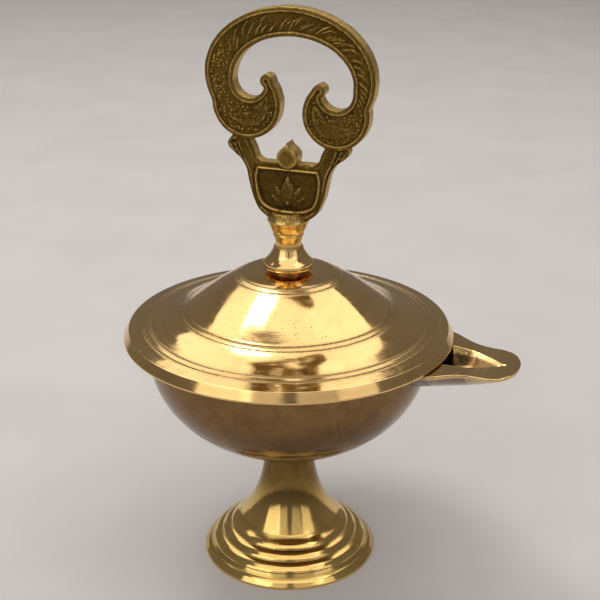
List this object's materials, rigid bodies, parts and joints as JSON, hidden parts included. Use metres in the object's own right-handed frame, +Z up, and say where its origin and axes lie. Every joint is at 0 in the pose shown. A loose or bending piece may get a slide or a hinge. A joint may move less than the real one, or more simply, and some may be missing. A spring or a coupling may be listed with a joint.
{
  "type": "covered brass oil lamp",
  "caption": "Brass oil lamp on a flared turned foot: a round bowl with a wick spout, and a domed lift-off lid with a cast scroll-ring finial.",
  "frame": {"origin": "centre of the foot's base rim, on the lamp's axis, in the plane it stands on", "axes": "+Z up along the lamp's axis, +X along the wick spout; the finial's plate lies in the XZ plane"},
  "size_m": [0.1102, 0.091, 0.1575],
  "materials": {
    "polished_brass": "lathe-turned and buffed",
    "cast_brass": "sand cast with a dark antique wash in the recesses",
    "threaded_brass": "plain machined",
    "plated_steel": "zinc plated"
  },
  "bodies": {
    "base": {"foot": "polished_brass", "foot_stud": "threaded_brass", "foot_washer": "plated_steel", "foot_nut": "threaded_brass", "bowl": "polished_brass"},
    "lid_carrier": {"lid_washer": "plated_steel"},
    "lid_group": {"lid": "polished_brass", "lid_collar": "polished_brass", "finial": "cast_brass", "lid_nut": "threaded_brass"}
  },
  "joints": [
    {"name": "lid_lift", "type": "slide", "parent": "base", "child": "lid_carrier", "axis": [0, 0, 1], "range_m": [0, 0.08]},
    {"name": "lid_turn", "type": "hinge", "parent": "lid_carrier", "child": "lid_group", "pos_m": [0, 0, 0.0684], "axis": [0, 0, 1], "continuous": true}
  ]
}
